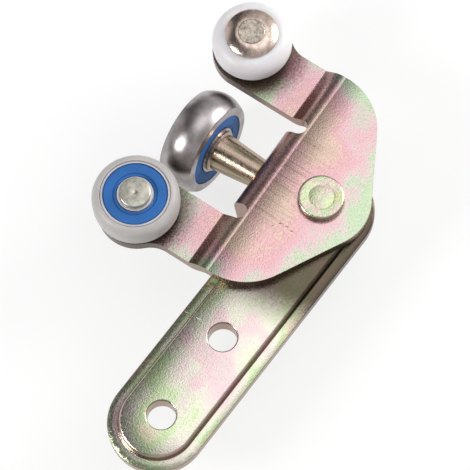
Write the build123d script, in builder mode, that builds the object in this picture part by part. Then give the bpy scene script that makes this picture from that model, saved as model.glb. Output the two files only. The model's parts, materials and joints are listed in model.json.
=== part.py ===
from build123d import *

import math
import os
from dataclasses import dataclass

# Sizes are in millimetres.
# The origin is midway between the two bolt holes of the arm, on its mounting face.
# +X runs along the arm to the pivot, +Z is up, and the rollers lie on the +Y side.

# Sheet and fits
sheet = 4.0
running_gap = 0.1
shaft_gap = 0.05
ball_gap = 0.03
seal_gap = 0.1
cage_gap = 0.12

# Arm
bolt_spacing = 30.6
bolt_hole_r = 4.5
arm_half_width = 15.4
arm_tip_past_bolt = 1.9
pivot_from_bolts = 67.9
pivot_off_centre = 1.5
panel_rise = 2.2
flange_width = 3.2
flange_slope_width = 1.9
flange_slope_drop = 0.35
panel_wall_lean = 14.0
panel_edge_r = 0.9
recess_inset = 1.6
collar_wall = 2.3
hole_rim_r = 0.5
arm_edge_r = 0.5

# Pivot rivet
rivet_head_r = 7.25
rivet_head_height = 2.45
rivet_head_edge_r = 0.8
rivet_shoulder_r = 6.0
rivet_shank_r = 5.0
rivet_tail_r = 8.2
rivet_tail_height = 1.6
rivet_mark_r = 4.0
rivet_mark_width = 0.3
rivet_mark_depth = 0.12

# Carrier, a plate with two lowered ears and a middle tab
carrier_swing = 2.9
apex_r = 15.5
side_slope = 28.8
shoulder_r = 20.0
carrier_half_width = 38.4
bend_line = 16.0
bend_r = 7.0
ear_drop = 4.1
joggle_angle = 41.0
joggle_inner_r = 0.7
ear_inner = 19.3
ear_head_r = 12.7
neck_fillet_r = 9.0
notch_r = 2.5
notch_from_bend = 3.3
tab_below_axle = 10.0
tab_corner_r = 3.0
roller_reach = 47.2
roller_spread = 31.95

# Guide roller, a sealed bearing in a tyre
guide_pin_r = 4.0
guide_pin_head_r = 4.92
guide_pin_head_height = 1.6
guide_pin_edge_r = 0.4
guide_pin_dimple_r = 0.7
guide_pin_dimple_depth = 0.4
guide_spacer_r = 5.6
guide_spacer_height = 3.5
pin_tail_r = 5.6
pin_tail_height = 1.2
guide_bearing_r = 11.0
guide_bearing_width = 7.0
tyre_r = 13.65
tyre_width = 10.0
tyre_tread_r = 3.2
tyre_below_bearing = 2.75
tyre_foot_r = 10.3

# Nylon roller and its capped pin
nylon_r = 12.6
nylon_width = 10.6
nylon_tread_r = 4.4
nylon_journal_r = 5.4
nylon_washer_r = 7.6
nylon_washer_height = 0.3
nylon_pin_r = 4.15
nylon_pin_proud = 0.15
cap_r = 8.36
cap_rim_height = 0.9
cap_height = 2.1
cap_top_r = 5.1
cap_edge_r = 0.35

# Load roller and its axle
axle_lean = 5.8
axle_drop = 12.8
axle_reach = 39.25
axle_root_r = 4.8
axle_cone_r = 6.2
axle_collar = 1.2
axle_shoulder_r = 7.0
axle_seat_r = 6.0
axle_tab_r = 3.8
axle_tail_r = 4.9
axle_tail_height = 1.3
axle_rim_r = 7.2
axle_rim_height = 1.1
load_roller_r = 15.2
load_roller_width = 11.8
crown_rise = 1.7

# Levels and places worked out from the sizes above
panel_top = sheet + panel_rise
plate_under = panel_top + running_gap
plate_top = plate_under + sheet
ear_top = plate_top - ear_drop
ear_under = ear_top - sheet
pivot = Vector(pivot_from_bolts, pivot_off_centre, 0)
bolt_places = [(-bolt_spacing / 2, 0), (bolt_spacing / 2, 0)]
arm_tip_x = -bolt_spacing / 2 - arm_tip_past_bolt
panel_half_width = arm_half_width - flange_width
tab_half_width = ear_inner - 2 * notch_r
tab_bend_share = math.tan(math.radians(90 + axle_lean) / 2)
tab_outer_u = bend_line + bend_r * tab_bend_share
tab_inner_u = bend_line + (bend_r - sheet) * tab_bend_share

# The carrier's own frame: x across the ears, y towards the rollers
carrier_frame = Plane(origin=pivot, z_dir=(0, 0, 1)).rotated((0, 0, carrier_swing))


def carrier_point(across, reach, level):
    """A point of the carrier in the part's own frame."""
    return carrier_frame.from_local_coords(Vector(across, reach, level))


def upright_section(across, reach, level):
    """A section plane with x outwards and y up, for what turns about an upright pin."""
    origin = carrier_point(across, reach, level)
    return Plane(origin=origin, x_dir=carrier_frame.x_dir, z_dir=-carrier_frame.y_dir)


# The axle's own directions: it leans down a little towards the roller and is square to the tab
lean_axis = Axis((0, 0, 0), carrier_frame.x_dir)
axle_dir = carrier_frame.y_dir.rotate(lean_axis, -axle_lean)
axle_up = carrier_frame.z_dir.rotate(lean_axis, -axle_lean)
roller_face = carrier_point(0, axle_reach, plate_top - axle_drop)
stub = (roller_face - carrier_point(0, tab_outer_u, plate_top)).dot(axle_dir)
axle_foot = roller_face - axle_dir * stub


def axle_section(distance):
    """A section plane with y along the axle, the given distance from the tab's outer face."""
    origin = axle_foot + axle_dir * distance
    return Plane(origin=origin, x_dir=axle_up, z_dir=axle_up.cross(axle_dir))


def spin_axis(section):
    """The axis that a half section turns about."""
    return Axis(section.origin, section.y_dir)


def write(piece, name):
    """Labels a finished piece and writes it to its own file."""
    piece.part.label = name
    export_step(piece.part, f"parts/{name}.step")


@dataclass
class Bearing:
    """A sealed deep groove ball bearing, with its section plane at mid width."""

    name: str
    section: Plane
    bore_r: float
    outer_r: float
    width: float
    inner_shoulder_r: float
    inner_face_r: float
    outer_shoulder_r: float
    seal_seat_r: float
    ball_r: float
    ball_count: int
    crown: float = 0.0

    seat_step = 0.95
    seal_inset = 0.15
    seal_thickness = 0.6
    seal_rib = 0.85
    seal_rib_step = 0.12
    corner = 0.3
    cage_wall = 0.85

    @property
    def half(self):
        """Half the width of the rings."""
        return self.width / 2

    @property
    def pitch_r(self):
        """The radius of the circle that the ball centres lie on."""
        return (self.inner_shoulder_r + self.outer_shoulder_r) / 2

    @property
    def spin_plane(self):
        """A plane at mid width, square to the axis."""
        return Plane(origin=self.section.origin, x_dir=self.section.x_dir, z_dir=self.section.y_dir)


def inner_ring(bearing):
    """The ring on the pin, with its ball groove and a step for each seal lip."""
    half, corner = bearing.half, bearing.corner
    step = half - bearing.seat_step
    with BuildPart() as ring:
        with BuildSketch(bearing.section):
            with BuildLine():
                Polyline(
                    (bearing.bore_r, -half + corner),
                    (bearing.bore_r + corner, -half),
                    (bearing.inner_face_r, -half),
                    (bearing.inner_face_r, -step),
                    (bearing.inner_shoulder_r, -step),
                    (bearing.inner_shoulder_r, step),
                    (bearing.inner_face_r, step),
                    (bearing.inner_face_r, half),
                    (bearing.bore_r + corner, half),
                    (bearing.bore_r, half - corner),
                    close=True,
                )
            make_face()
            with Locations((bearing.pitch_r, 0)):
                Circle(bearing.ball_r + ball_gap, mode=Mode.SUBTRACT)
        revolve(axis=spin_axis(bearing.section))
    write(ring, f"{bearing.name}_inner_ring")


def outer_ring(bearing):
    """The turning ring, with its ball groove, a seat for each seal and a crowned or plain rim."""
    half, corner = bearing.half, bearing.corner
    step = half - bearing.seat_step
    edge_r = bearing.outer_r - corner
    with BuildPart() as ring:
        with BuildSketch(bearing.section):
            with BuildLine():
                Polyline(
                    (bearing.outer_r, half - corner),
                    (edge_r, half),
                    (bearing.seal_seat_r, half),
                    (bearing.seal_seat_r, step),
                    (bearing.outer_shoulder_r, step),
                    (bearing.outer_shoulder_r, -step),
                    (bearing.seal_seat_r, -step),
                    (bearing.seal_seat_r, -half),
                    (edge_r, -half),
                    (bearing.outer_r, corner - half),
                )
                if bearing.crown:
                    ThreePointArc(
                        (bearing.outer_r, corner - half),
                        (bearing.outer_r + bearing.crown, 0),
                        (bearing.outer_r, half - corner),
                    )
                else:
                    Line((bearing.outer_r, corner - half), (bearing.outer_r, half - corner))
            make_face()
            with Locations((bearing.pitch_r, 0)):
                Circle(bearing.ball_r + ball_gap, mode=Mode.SUBTRACT)
        revolve(axis=spin_axis(bearing.section))
    write(ring, f"{bearing.name}_outer_ring")


def ball_set(bearing):
    """The balls, evenly spaced on the pitch circle."""
    with BuildPart() as balls:
        with Locations(bearing.spin_plane):
            with PolarLocations(bearing.pitch_r, bearing.ball_count):
                Sphere(bearing.ball_r)
    write(balls, f"{bearing.name}_balls")


def cage(bearing):
    """A crown cage, closed on one side, with a round pocket for each ball."""
    back = bearing.half - bearing.seal_inset - bearing.seal_thickness - 3 * seal_gap
    front = bearing.ball_r / 2
    with BuildPart() as crown:
        with BuildSketch(bearing.section):
            with Locations((bearing.pitch_r, (front - back) / 2)):
                Rectangle(2 * bearing.cage_wall, front + back)
        revolve(axis=spin_axis(bearing.section))
        with Locations(bearing.spin_plane):
            with PolarLocations(bearing.pitch_r, bearing.ball_count):
                Sphere(bearing.ball_r + cage_gap, mode=Mode.SUBTRACT)
    write(crown, f"{bearing.name}_cage")


def seal(bearing, side, name):
    """A dished rubber seal, held in the outer ring, with a raised rib beside its lip."""
    lip_r = bearing.inner_face_r + seal_gap
    rib_r = lip_r + bearing.seal_rib
    face = bearing.half - bearing.seal_inset
    low = face - bearing.seal_rib_step
    foot = face - bearing.seal_thickness
    with BuildPart() as disc:
        with BuildSketch(bearing.section):
            with BuildLine():
                Polyline(
                    (lip_r, side * foot),
                    (lip_r, side * low),
                    (rib_r, side * low),
                    (rib_r, side * face),
                    (bearing.seal_seat_r, side * face),
                    (bearing.seal_seat_r, side * foot),
                    close=True,
                )
            make_face()
        revolve(axis=spin_axis(bearing.section))
    write(disc, name)


os.makedirs("parts", exist_ok=True)

# Arm: a long pressed strap with a raised panel, hollow below, and two collared bolt holes
arm_length = pivot_from_bolts - arm_tip_x
arm_middle = (pivot_from_bolts + arm_tip_x) / 2
slope_lean = math.degrees(math.atan2(flange_slope_width, flange_slope_drop))
recess_half_width = panel_half_width - recess_inset
with BuildPart() as arm:
    with BuildSketch():
        with Locations((arm_middle, 0)):
            SlotCenterToCenter(arm_length, 2 * arm_half_width)
    extrude(amount=sheet - flange_slope_drop)
    with BuildSketch(Plane.XY.offset(sheet - flange_slope_drop)):
        with Locations((arm_middle, 0)):
            SlotCenterToCenter(arm_length, 2 * arm_half_width)
    extrude(amount=flange_slope_drop, taper=slope_lean)
    with BuildSketch(Plane.XY.offset(sheet)):
        with Locations((arm_middle, 0)):
            SlotCenterToCenter(arm_length, 2 * panel_half_width)
    extrude(amount=panel_rise, taper=panel_wall_lean)
    panel_edges = arm.faces().sort_by(Axis.Z)[-1].edges()
    fillet(panel_edges, radius=panel_edge_r)
    with BuildSketch():
        with Locations((arm_middle, 0)):
            SlotCenterToCenter(arm_length, 2 * recess_half_width)
        with Locations(*bolt_places):
            Circle(bolt_hole_r + collar_wall, mode=Mode.SUBTRACT)
    extrude(amount=panel_rise, mode=Mode.SUBTRACT)
    with BuildSketch():
        with Locations(*bolt_places):
            Circle(bolt_hole_r)
        with Locations((pivot.X, pivot.Y)):
            Circle(rivet_shank_r)
    extrude(amount=panel_top, mode=Mode.SUBTRACT)
    rims = arm.edges().filter_by(GeomType.CIRCLE).filter_by(lambda e: abs(e.radius - bolt_hole_r) < 1e-6)
    fillet(rims.group_by(Axis.Z)[-1], radius=hole_rim_r)
    outline = arm.faces().filter_by(Axis.Z).sort_by(Axis.Z)[0].outer_wire().edges()
    fillet(outline, radius=arm_edge_r)
write(arm, "arm")

# Pivot rivet: its shoulder carries the plate, its shank is set in the arm, its tail fills the recess
rivet_frame = Plane(origin=pivot, x_dir=(1, 0, 0), z_dir=(0, -1, 0))
head_foot = plate_top + running_gap
head_top = head_foot + rivet_head_height
with BuildPart() as pivot_rivet:
    with BuildSketch(rivet_frame):
        with BuildLine():
            Polyline(
                (0, panel_rise - rivet_tail_height),
                (rivet_tail_r, panel_rise - rivet_tail_height),
                (rivet_tail_r, panel_rise),
                (rivet_shank_r, panel_rise),
                (rivet_shank_r, panel_top),
                (rivet_shoulder_r, panel_top),
                (rivet_shoulder_r, head_foot),
                (rivet_head_r, head_foot),
                (rivet_head_r, head_top),
                (rivet_mark_r + rivet_mark_width, head_top),
                (rivet_mark_r, head_top - rivet_mark_depth),
                (rivet_mark_r - rivet_mark_width, head_top),
                (0, head_top),
                close=True,
            )
        make_face()
        head_corner = vertices().sort_by_distance((rivet_head_r, head_top))[0]
        fillet(head_corner, radius=rivet_head_edge_r)
        tail_corner = vertices().sort_by_distance((rivet_tail_r, panel_rise - rivet_tail_height))[0]
        fillet(tail_corner, radius=rivet_head_edge_r)
    revolve(axis=spin_axis(rivet_frame))
write(pivot_rivet, "pivot_rivet")

# Carrier: the ears and the tab are bent from one sheet, with a round relief notch between them
turn = math.radians(joggle_angle)
shift = sheet * math.tan(turn / 2)
fold_u = bend_line + bend_r * math.tan(turn / 2)
foot_u = fold_u + ear_drop / math.tan(turn)
far_u = roller_reach + ear_head_r
near_u = -apex_r
notch_u = bend_line + notch_from_bend
notch_v = ear_inner - notch_r
hull_v = carrier_half_width - shoulder_r
lean = math.radians(side_slope)
hull_u = (shoulder_r - apex_r + hull_v * math.sin(lean)) / math.cos(lean)
side_view = Plane(origin=pivot, x_dir=carrier_frame.y_dir, z_dir=carrier_frame.x_dir)
tab_end = side_view.to_local_coords(axle_foot - axle_up * tab_below_axle)
tab_end_inner = side_view.to_local_coords(axle_foot - axle_up * tab_below_axle - axle_dir * sheet)
with BuildPart() as carrier_plate:
    with BuildSketch(side_view):
        with BuildLine():
            over = FilletPolyline(
                (near_u, plate_top),
                (fold_u, plate_top),
                (foot_u, ear_top),
                (far_u, ear_top),
                radius=(bend_r, joggle_inner_r),
            )
            under = FilletPolyline(
                (near_u, plate_under),
                (fold_u - shift, plate_under),
                (foot_u - shift, ear_under),
                (far_u, ear_under),
                radius=(bend_r - sheet, joggle_inner_r + sheet),
            )
            Line(over @ 0, under @ 0)
            Line(over @ 1, under @ 1)
        make_face()
    extrude(amount=roller_spread + ear_head_r, both=True)
    with BuildSketch(carrier_frame):
        Circle(apex_r)
        with Locations((-hull_v, hull_u), (hull_v, hull_u)):
            Circle(shoulder_r)
        make_hull()
        for side in (-1, 1):
            with Locations((side * (ear_inner + carrier_half_width) / 2, (hull_u + roller_reach) / 2)):
                Rectangle(carrier_half_width - ear_inner, roller_reach - hull_u)
            with Locations((side * roller_spread, roller_reach)):
                Circle(ear_head_r)
        necks = vertices().filter_by(
            lambda v: abs(abs(v.X) - carrier_half_width) < 0.01 and v.Y > hull_u + shoulder_r / 2
        )
        fillet(necks, radius=neck_fillet_r)
        with Locations((0, (notch_u + far_u) / 2)):
            Rectangle(2 * ear_inner, far_u - notch_u, mode=Mode.SUBTRACT)
        with Locations((-notch_v, notch_u), (notch_v, notch_u)):
            Circle(notch_r, mode=Mode.SUBTRACT)
    extrude(amount=plate_top, mode=Mode.INTERSECT)
    with BuildSketch(side_view):
        with BuildLine():
            outer = FilletPolyline(
                (bend_line - sheet, plate_top),
                (tab_outer_u, plate_top),
                (tab_end.X, tab_end.Y),
                radius=bend_r,
            )
            inner = FilletPolyline(
                (bend_line - sheet, plate_under),
                (tab_inner_u, plate_under),
                (tab_end_inner.X, tab_end_inner.Y),
                radius=bend_r - sheet,
            )
            Line(outer @ 0, inner @ 0)
            Line(outer @ 1, inner @ 1)
        make_face()
    extrude(amount=tab_half_width, both=True)
    tab_corners = carrier_plate.edges().filter_by(Axis(axle_foot, axle_dir)).group_by(Axis.Z)[0]
    fillet(tab_corners, radius=tab_corner_r)
    with BuildSketch(carrier_frame):
        Circle(rivet_shoulder_r + shaft_gap)
        with Locations((-roller_spread, roller_reach)):
            Circle(guide_pin_r)
        with Locations((roller_spread, roller_reach)):
            Circle(nylon_pin_r)
    extrude(amount=plate_top, mode=Mode.SUBTRACT)
    tab_inner_plane = Plane(origin=axle_foot - axle_dir * sheet, z_dir=axle_dir)
    with BuildSketch(tab_inner_plane):
        Circle(axle_tab_r)
    extrude(amount=2 * sheet, mode=Mode.SUBTRACT)
    with BuildSketch(tab_inner_plane):
        Circle(axle_tail_r + shaft_gap)
    extrude(amount=-axle_tail_height - shaft_gap, mode=Mode.SUBTRACT)
write(carrier_plate, "carrier_plate")

# Load roller: a stub axle set in the tab, and a crowned ball bearing that runs on the rail
roller_far = stub + load_roller_width
with BuildPart() as load_axle:
    with BuildSketch(axle_section(0)):
        with BuildLine():
            Polyline(
                (0, -sheet - axle_tail_height),
                (axle_tail_r - axle_tail_height / 2, -sheet - axle_tail_height),
                (axle_tail_r, -sheet - axle_tail_height / 2),
                (axle_tail_r, -sheet),
                (axle_tab_r, -sheet),
                (axle_tab_r, 0),
                (axle_root_r, 0),
                (axle_cone_r, stub - axle_collar),
                (axle_shoulder_r, stub - axle_collar),
                (axle_shoulder_r, stub),
                (axle_seat_r, stub),
                (axle_seat_r, roller_far),
                (axle_rim_r, roller_far),
                (axle_rim_r, roller_far + axle_rim_height / 2),
                (axle_rim_r - axle_rim_height / 2, roller_far + axle_rim_height),
                (0, roller_far + axle_rim_height),
                close=True,
            )
        make_face()
    revolve(axis=spin_axis(axle_section(0)))
write(load_axle, "load_axle")

load_bearing = Bearing(
    name="load",
    section=axle_section(stub + load_roller_width / 2),
    bore_r=axle_seat_r,
    outer_r=load_roller_r,
    width=load_roller_width,
    inner_shoulder_r=8.4,
    inner_face_r=7.8,
    outer_shoulder_r=12.0,
    seal_seat_r=12.3,
    ball_r=2.75,
    ball_count=9,
    crown=crown_rise,
)

# Guide roller: a small sealed bearing on a headed pin, with a hard tyre round it
guide_middle = ear_top + guide_spacer_height + guide_bearing_width / 2
guide_bearing = Bearing(
    name="guide",
    section=upright_section(-roller_spread, roller_reach, guide_middle),
    bore_r=guide_pin_r,
    outer_r=guide_bearing_r,
    width=guide_bearing_width,
    inner_shoulder_r=6.05,
    inner_face_r=5.65,
    outer_shoulder_r=8.9,
    seal_seat_r=10.15,
    ball_r=1.985,
    ball_count=7,
)

for bearing in (load_bearing, guide_bearing):
    inner_ring(bearing)
    outer_ring(bearing)
    ball_set(bearing)
    cage(bearing)
    seal(bearing, -1, f"{bearing.name}_seal_near")
    seal(bearing, 1, f"{bearing.name}_seal_far")

guide_section = upright_section(-roller_spread, roller_reach, 0)
guide_foot = ear_top + guide_spacer_height
guide_face = guide_foot + guide_bearing_width
guide_pin_top = guide_face + guide_pin_head_height
with BuildPart() as guide_pin:
    with BuildSketch(guide_section):
        with BuildLine():
            Polyline(
                (0, ear_under - pin_tail_height),
                (pin_tail_r - pin_tail_height / 2, ear_under - pin_tail_height),
                (pin_tail_r, ear_under - pin_tail_height / 2),
                (pin_tail_r, ear_under),
                (guide_pin_r, ear_under),
                (guide_pin_r, guide_face),
                (guide_pin_head_r, guide_face),
                (guide_pin_head_r, guide_pin_top - guide_pin_edge_r),
                (guide_pin_head_r - guide_pin_edge_r, guide_pin_top),
                (guide_pin_dimple_r, guide_pin_top),
                (0, guide_pin_top - guide_pin_dimple_depth),
                close=True,
            )
        make_face()
    revolve(axis=spin_axis(guide_section))
write(guide_pin, "guide_pin")

with BuildPart() as guide_spacer:
    with BuildSketch(Plane(origin=carrier_point(-roller_spread, roller_reach, ear_top))):
        Circle(guide_spacer_r)
        Circle(guide_pin_r, mode=Mode.SUBTRACT)
    extrude(amount=guide_spacer_height)
write(guide_spacer, "guide_spacer")

tyre_foot = guide_foot - tyre_below_bearing
tyre_top = tyre_foot + tyre_width
with BuildPart() as guide_tyre:
    with BuildSketch(guide_section):
        with Locations((tyre_r / 2, (tyre_foot + tyre_top) / 2)):
            Rectangle(tyre_r, tyre_width)
        fillet(vertices().sort_by(Axis.X)[-2:], radius=tyre_tread_r)
        with Locations((tyre_foot_r / 2, (tyre_foot + tyre_top) / 2)):
            Rectangle(tyre_foot_r, tyre_width, mode=Mode.SUBTRACT)
        with Locations((guide_bearing_r / 2, guide_foot + tyre_width / 2)):
            Rectangle(guide_bearing_r, tyre_width, mode=Mode.SUBTRACT)
    revolve(axis=spin_axis(guide_section))
write(guide_tyre, "guide_tyre")

# Nylon roller: it turns on a shouldered pin between a thin washer and a domed cap
nylon_section = upright_section(roller_spread, roller_reach, 0)
nylon_foot = ear_top + nylon_washer_height + running_gap
nylon_top = nylon_foot + nylon_width
cap_foot = nylon_top + running_gap
cap_top = cap_foot + cap_height
with BuildPart() as nylon_pin:
    with BuildSketch(nylon_section):
        with BuildLine():
            Polyline(
                (0, ear_under - pin_tail_height),
                (pin_tail_r - pin_tail_height / 2, ear_under - pin_tail_height),
                (pin_tail_r, ear_under - pin_tail_height / 2),
                (pin_tail_r, ear_under),
                (nylon_pin_r, ear_under),
                (nylon_pin_r, ear_top),
                (nylon_journal_r, ear_top),
                (nylon_journal_r, cap_foot),
                (nylon_pin_r, cap_foot),
                (nylon_pin_r, cap_top + nylon_pin_proud / 2),
                (nylon_pin_r - nylon_pin_proud, cap_top + nylon_pin_proud),
                (0, cap_top + nylon_pin_proud),
                close=True,
            )
        make_face()
    revolve(axis=spin_axis(nylon_section))
write(nylon_pin, "nylon_pin")

with BuildPart() as nylon_washer:
    with BuildSketch(Plane(origin=carrier_point(roller_spread, roller_reach, ear_top))):
        Circle(nylon_washer_r)
        Circle(nylon_journal_r, mode=Mode.SUBTRACT)
    extrude(amount=nylon_washer_height)
write(nylon_washer, "nylon_washer")

with BuildPart() as nylon_roller:
    with BuildSketch(nylon_section):
        with Locations((nylon_r / 2, (nylon_foot + nylon_top) / 2)):
            Rectangle(nylon_r, nylon_width)
        fillet(vertices().sort_by(Axis.X)[-2:], radius=nylon_tread_r)
        bore_r = nylon_journal_r + shaft_gap
        with Locations((bore_r / 2, (nylon_foot + nylon_top) / 2)):
            Rectangle(bore_r, nylon_width, mode=Mode.SUBTRACT)
    revolve(axis=spin_axis(nylon_section))
write(nylon_roller, "nylon_roller")

with BuildPart() as nylon_cap:
    with BuildSketch(nylon_section):
        with BuildLine():
            Polyline(
                (nylon_pin_r, cap_foot),
                (cap_r, cap_foot),
                (cap_r, cap_foot + cap_rim_height),
                (cap_top_r, cap_top),
                (nylon_pin_r, cap_top),
                close=True,
            )
        make_face()
    revolve(axis=spin_axis(nylon_section))
    cap_edges = nylon_cap.edges().filter_by(GeomType.CIRCLE).filter_by(lambda e: e.radius > cap_top_r - 0.01)
    fillet(cap_edges.sort_by(Axis.Z)[1:], radius=cap_edge_r)
write(nylon_cap, "nylon_cap")
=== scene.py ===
"""Van sliding door roller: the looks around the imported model.

A pressed arm carries a folded plate on a rivet. The plate carries an upright steel load roller
and two flat guide rollers. Lengths in the classes are in millimetres, in the frame of the model:
x along the arm to the pivot, y towards the rollers, z up.
"""

import json
import logging
import math
from dataclasses import dataclass, field
from enum import Enum

import bpy
from mathutils import Matrix, Vector

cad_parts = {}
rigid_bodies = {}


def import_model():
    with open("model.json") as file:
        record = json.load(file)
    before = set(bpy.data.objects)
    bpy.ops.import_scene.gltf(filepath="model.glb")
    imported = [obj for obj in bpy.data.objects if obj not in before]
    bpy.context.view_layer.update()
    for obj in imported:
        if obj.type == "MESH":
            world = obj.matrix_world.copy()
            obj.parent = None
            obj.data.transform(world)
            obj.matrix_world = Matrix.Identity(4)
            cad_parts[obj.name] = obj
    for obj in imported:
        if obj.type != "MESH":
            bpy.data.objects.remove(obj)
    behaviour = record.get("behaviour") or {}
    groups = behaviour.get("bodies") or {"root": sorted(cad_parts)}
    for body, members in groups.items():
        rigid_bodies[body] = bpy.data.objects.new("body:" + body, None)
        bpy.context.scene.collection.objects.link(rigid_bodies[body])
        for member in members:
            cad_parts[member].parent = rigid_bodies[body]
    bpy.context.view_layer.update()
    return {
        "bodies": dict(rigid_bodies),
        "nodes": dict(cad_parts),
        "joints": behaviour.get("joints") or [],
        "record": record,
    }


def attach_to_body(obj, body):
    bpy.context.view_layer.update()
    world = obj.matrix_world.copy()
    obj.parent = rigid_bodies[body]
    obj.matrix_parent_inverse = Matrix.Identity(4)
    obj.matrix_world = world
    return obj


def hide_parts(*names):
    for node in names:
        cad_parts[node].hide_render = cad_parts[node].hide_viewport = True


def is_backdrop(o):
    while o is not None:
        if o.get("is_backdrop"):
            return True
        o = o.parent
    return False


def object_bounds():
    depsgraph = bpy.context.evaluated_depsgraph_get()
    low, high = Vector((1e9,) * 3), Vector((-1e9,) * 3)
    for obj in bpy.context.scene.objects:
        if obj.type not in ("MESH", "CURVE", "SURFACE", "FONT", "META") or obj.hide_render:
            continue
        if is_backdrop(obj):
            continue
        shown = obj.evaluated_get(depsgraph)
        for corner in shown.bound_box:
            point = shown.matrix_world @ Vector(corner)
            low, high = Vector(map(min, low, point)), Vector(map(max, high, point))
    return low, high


log = logging.getLogger("door_roller")

# Where the arm, the carrier and its rollers stand, as in the solids
PIVOT = Vector((67.9, 1.5, 0.0))
ARM_SPINE = (-17.2, 67.9)
ARM_MIDDLE = sum(ARM_SPINE) / 2
ARM_HALF_WIDTH = 15.4
CARRIER_SWING = math.radians(2.9)
SHEET = 4.0
PLATE_TOP = 10.3
EAR_TOP = PLATE_TOP - 4.1
ROLLER_REACH = 47.2
ROLLER_SPREAD = 31.95
AXLE_LEAN = math.radians(5.8)
AXLE_DROP = 12.8

# Nearly all values of a noise lie in this span
NOISE_SPAN = {"From Min": 0.3, "From Max": 0.7}

# Sheet parts: faces this close to one plane are joined, edges sharper than the second are rounded
SAME_PLANE = math.radians(0.4)
SHARP_EDGE = math.radians(40)

Outline = list[tuple[float, float]]
Stops = tuple[tuple[float, str], ...]
Node = bpy.types.Node
Socket = bpy.types.NodeSocket
Source = Node | Socket
Tree = bpy.types.NodeTree
Material = bpy.types.Material
Piece = bpy.types.Object


class Body(Enum):
    """The moving bodies of the model."""

    ARM = "arm_body"
    CARRIER = "carrier"
    LOAD_ROLLER = "load_roller"
    GUIDE_ROLLER = "guide_roller"
    WHITE_ROLLER = "white_roller"


class Slot(Enum):
    """The record's material slots, named along with each new piece."""

    ZINC = "zinc_plated_steel"
    RIVET = "rivet_steel"
    CAP = "cap_steel"
    PIN = "pin_steel"
    BEARING = "bearing_steel"
    SEAL = "seal_rubber"
    TYRE = "tyre_plastic"
    NYLON = "nylon"


def carrier_place(across: float, reach: float, level: float) -> Vector:
    """A point given in the swung carrier's own directions, in the model's frame.

    Args:
        across: Distance along the line between the ears, in mm.
        reach: Distance from the pivot towards the rollers, in mm.
        level: Height above the mounting face, in mm.

    Returns:
        The point, in mm.
    """
    return PIVOT + Matrix.Rotation(CARRIER_SWING, 3, "Z") @ Vector((across, reach, level))


def linear(hex_colour: str) -> tuple[float, float, float, float]:
    """Turns an sRGB hex colour to linear.

    Args:
        hex_colour: A colour such as "#C8BDA0".

    Returns:
        Linear red, green, blue and alpha.
    """
    parts = [int(hex_colour[i : i + 2], 16) / 255 for i in (1, 3, 5)]
    values = [p / 12.92 if p <= 0.04045 else ((p + 0.055) / 1.055) ** 2.4 for p in parts]
    return (values[0], values[1], values[2], 1.0)


def add_node(tree: Tree, kind: str, settings: dict | None = None, links: dict | None = None) -> Node:
    """Adds a node, sets it up and links its inputs.

    Args:
        tree: The material's node tree.
        kind: The node type's name after "ShaderNode".
        settings: Attribute names, or input names or numbers, with their values.
        links: Input names or numbers with what feeds them: an output, or a node by its first one.

    Returns:
        The new node.
    """
    node = tree.nodes.new(f"ShaderNode{kind}")
    for name, value in (settings or {}).items():
        if isinstance(name, str) and hasattr(node, name):
            setattr(node, name, value)
        else:
            node.inputs[name].default_value = value
    for name, source in (links or {}).items():
        socket = source.outputs[0] if isinstance(source, Node) else source
        tree.links.new(socket, node.inputs[name])
    return node


def set_stops(ramp: Node, stops: Stops) -> None:
    """Gives a colour ramp its stops.

    Args:
        ramp: The ramp node.
        stops: Positions from 0 to 1 with hex colours.
    """
    elements = ramp.color_ramp.elements
    while len(elements) < len(stops):
        elements.new(0.5)
    for element, (place, colour) in zip(elements, stops):
        element.position = place
        element.color = linear(colour)


def new_tree(name: str) -> tuple[Material, Tree, Socket]:
    """Starts a material with its object coordinates.

    Args:
        name: The material's name.

    Returns:
        The material, its empty node tree and the object coordinate socket.
    """
    material = bpy.data.materials.new(name)
    material.use_nodes = True
    tree = material.node_tree
    tree.nodes.clear()
    place = add_node(tree, "TexCoord").outputs["Object"]
    return material, tree, place


def per_metre(size_mm: float) -> float:
    """The texture scale at which one feature is about size_mm wide."""
    return 1000 / size_mm


@dataclass(frozen=True)
class Nick:
    """A short scratch, by its middle, direction, length and width in mm and degrees."""

    x: float
    y: float
    turn: float
    length: float
    width: float = 0.3
    colour: str = "#F4F4EC"


@dataclass(frozen=True)
class Lobe:
    """One rounded part of a sheet's outline, in mm.

    It has its middle, the half length of its middle line and its reach. Its distances start at
    at_middle in the middle and are 1 at its edge.
    """

    x: float
    y: float
    reach_x: float
    reach_y: float
    straight: float = 0.0
    at_middle: float = 0.0


@dataclass(frozen=True)
class PaintedShade:
    """Painted shade round a turning axis, where another part casts shade on the sheet, in mm: it starts at
    one radius and is full at a smaller one.

    Specks fray its edge by up to its ragged width.
    """

    x: float
    y: float
    start: float
    full: float
    colour: str
    share: float = 0.85
    ragged: float = 8.0


@dataclass(frozen=True)
class Brushing:
    """Fine dark lines along the sheet's own y, between two heights, fading out sideways, in mm.

    Real brush lines are about 0.1 mm wide, too fine to show, so they are drawn at 0.5 mm.
    """

    low: float
    high: float
    half_width: float
    fade: float = 4.0
    line: float = 0.5
    length: float = 14.0
    colour: str = "#8A7868"
    share: float = 0.5


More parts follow.
